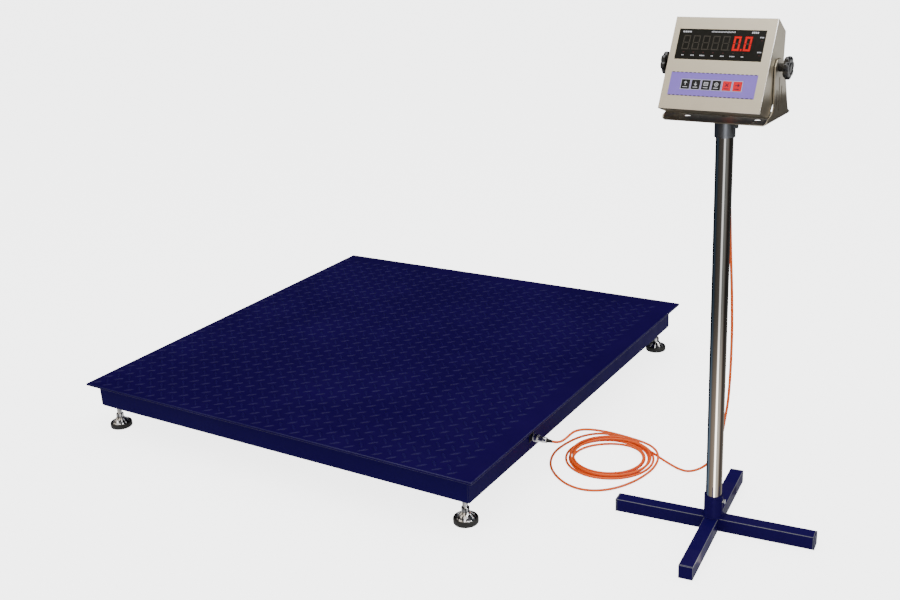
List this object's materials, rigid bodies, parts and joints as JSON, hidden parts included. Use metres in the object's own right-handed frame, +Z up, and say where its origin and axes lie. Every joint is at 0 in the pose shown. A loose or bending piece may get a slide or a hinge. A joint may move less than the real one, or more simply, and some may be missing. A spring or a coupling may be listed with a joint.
{
  "type": "platform shipping scale",
  "caption": "Low square floor platform scale on levelling feet, cabled to a tilting digital indicator on a free-standing column with a cross base.",
  "frame": {"origin": "on the floor, at the middle of the whole object's footprint", "axes": "+X from the platform towards the indicator column, +Y away from the person reading the indicator, +Z up"},
  "size_m": [1.8525, 1.2, 1.0803],
  "materials": {
    "deck_paint": "semi-gloss navy paint",
    "frame_paint": "semi-gloss navy paint",
    "bare_steel": "machined",
    "foot_rubber": "matte",
    "foot_chrome": "bright plated",
    "box_alloy": "cast",
    "lead_grey": "matte",
    "plug_chrome": "bright plated",
    "black_rubber": "matte",
    "cable_orange": "satin jacket",
    "stand_paint": "semi-gloss navy paint",
    "column_chrome": "polished",
    "collar_grey": "satin grey",
    "screw_steel": "zinc plated",
    "stainless": "fine brushed stainless",
    "window_dark": "dark tinted",
    "digit_plastic": "matte",
    "keypad_film": "satin lavender film",
    "key_black": "satin",
    "key_red": "satin",
    "board_green": "solder mask",
    "battery_case": "moulded",
    "transformer_iron": "laminated",
    "gland_black": "moulded",
    "knob_black": "gloss moulded"
  },
  "bodies": {
    "scale_frame": {"deck_plate": "deck_paint", "rail_right": "frame_paint", "rail_rear": "frame_paint", "rail_left": "frame_paint", "rail_front": "frame_paint", "deck_ribs": "frame_paint", "load_cells": "bare_steel", "load_cell_spacers": "bare_steel", "load_cell_bolts": "bare_steel", "foot_lock_nuts": "bare_steel", "junction_box": "box_alloy", "junction_box_lid": "box_alloy", "sensor_leads": "lead_grey", "cable_socket": "plug_chrome", "cable_plug": "plug_chrome", "cable_boot": "black_rubber", "cable_floor_loop": "cable_orange", "cable_coil": "cable_orange", "cable_riser": "cable_orange", "cable_tail": "cable_orange", "base_long_tube": "stand_paint", "base_side_tubes": "stand_paint", "base_end_caps": "stand_paint", "base_socket": "stand_paint", "column": "column_chrome", "top_collar": "collar_grey", "column_screws": "screw_steel", "bracket": "stainless"},
    "indicator": {"housing_shell": "stainless", "back_cover": "stainless", "cover_screws": "screw_steel", "display_window": "window_dark", "digit_modules": "digit_plastic", "keypad_overlay": "keypad_film", "circuit_boards": "board_green", "battery": "battery_case", "transformer": "transformer_iron", "cable_gland": "gland_black", "power_gland": "gland_black", "friction_washers": "black_rubber"},
    "left_knob": {"knob_left": "knob_black"},
    "right_knob": {"knob_right": "knob_black"},
    "key_1_body": {"key_1": "key_black"},
    "key_2_body": {"key_2": "key_black"},
    "key_3_body": {"key_3": "key_black"},
    "key_4_body": {"key_4": "key_black"},
    "key_5_body": {"key_5": "key_red"},
    "key_6_body": {"key_6": "key_red"},
    "foot_front_left": {"foot_pad_front_left": "foot_rubber", "foot_cup_front_left": "foot_chrome"},
    "stud_front_left": {"foot_stud_front_left": "foot_chrome"},
    "foot_front_right": {"foot_pad_front_right": "foot_rubber", "foot_cup_front_right": "foot_chrome"},
    "stud_front_right": {"foot_stud_front_right": "foot_chrome"},
    "foot_rear_left": {"foot_pad_rear_left": "foot_rubber", "foot_cup_rear_left": "foot_chrome"},
    "stud_rear_left": {"foot_stud_rear_left": "foot_chrome"},
    "foot_rear_right": {"foot_pad_rear_right": "foot_rubber", "foot_cup_rear_right": "foot_chrome"},
    "stud_rear_right": {"foot_stud_rear_right": "foot_chrome"}
  },
  "joints": [
    {"name": "indicator_tilt", "type": "hinge", "parent": "scale_frame", "child": "indicator", "pos_m": [0.70976, -0.327, 0.993], "axis": [0.9994, -0.0349, 0], "range_deg": [-45, 15], "deforming": ["cable_tail"]},
    {"name": "left_knob_turn", "type": "hinge", "parent": "indicator", "child": "left_knob", "pos_m": [0.59982, -0.32316, 0.993], "axis": [0.9994, -0.0349, 0], "continuous": true},
    {"name": "right_knob_turn", "type": "hinge", "parent": "indicator", "child": "right_knob", "pos_m": [0.81969, -0.33083, 0.993], "axis": [0.9994, -0.0349, 0], "continuous": true},
    {"name": "key_1_press", "type": "slide", "parent": "indicator", "child": "key_1_body", "axis": [0.0308, 0.8824, -0.4695], "range_m": [0, 0.0004], "stiffness_N_per_m": 2500},
    {"name": "key_2_press", "type": "slide", "parent": "indicator", "child": "key_2_body", "axis": [0.0308, 0.8824, -0.4695], "range_m": [0, 0.0004], "stiffness_N_per_m": 2500},
    {"name": "key_3_press", "type": "slide", "parent": "indicator", "child": "key_3_body", "axis": [0.0308, 0.8824, -0.4695], "range_m": [0, 0.0004], "stiffness_N_per_m": 2500},
    {"name": "key_4_press", "type": "slide", "parent": "indicator", "child": "key_4_body", "axis": [0.0308, 0.8824, -0.4695], "range_m": [0, 0.0004], "stiffness_N_per_m": 2500},
    {"name": "key_5_press", "type": "slide", "parent": "indicator", "child": "key_5_body", "axis": [0.0308, 0.8824, -0.4695], "range_m": [0, 0.0004], "stiffness_N_per_m": 2500},
    {"name": "key_6_press", "type": "slide", "parent": "indicator", "child": "key_6_body", "axis": [0.0308, 0.8824, -0.4695], "range_m": [0, 0.0004], "stiffness_N_per_m": 2500},
    {"name": "foot_front_left_level", "type": "slide", "parent": "scale_frame", "child": "foot_front_left", "axis": [0, 0, -1], "range_m": [0, 0.01]},
    {"name": "stud_front_left_turn", "type": "hinge", "parent": "foot_front_left", "child": "stud_front_left", "pos_m": [-0.874, -0.548, 0.05], "axis": [0, 0, -1], "range_deg": [0, 2062]},
    {"name": "foot_front_right_level", "type": "slide", "parent": "scale_frame", "child": "foot_front_right", "axis": [0, 0, -1], "range_m": [0, 0.01]},
    {"name": "stud_front_right_turn", "type": "hinge", "parent": "foot_front_right", "child": "stud_front_right", "pos_m": [0.222, -0.548, 0.05], "axis": [0, 0, -1], "range_deg": [0, 2062]},
    {"name": "foot_rear_left_level", "type": "slide", "parent": "scale_frame", "child": "foot_rear_left", "axis": [0, 0, -1], "range_m": [0, 0.01]},
    {"name": "stud_rear_left_turn", "type": "hinge", "parent": "foot_rear_left", "child": "stud_rear_left", "pos_m": [-0.874, 0.548, 0.05], "axis": [0, 0, -1], "range_deg": [0, 2062]},
    {"name": "foot_rear_right_level", "type": "slide", "parent": "scale_frame", "child": "foot_rear_right", "axis": [0, 0, -1], "range_m": [0, 0.01]},
    {"name": "stud_rear_right_turn", "type": "hinge", "parent": "foot_rear_right", "child": "stud_rear_right", "pos_m": [0.222, 0.548, 0.05], "axis": [0, 0, -1], "range_deg": [0, 2062]}
  ],
  "couplings": [
    {"joint": "stud_front_left_turn", "follows": "foot_front_left_level", "rad_per_m": 3590.4},
    {"joint": "stud_front_right_turn", "follows": "foot_front_right_level", "rad_per_m": 3590.4},
    {"joint": "stud_rear_left_turn", "follows": "foot_rear_left_level", "rad_per_m": 3590.4},
    {"joint": "stud_rear_right_turn", "follows": "foot_rear_right_level", "rad_per_m": 3590.4}
  ]
}
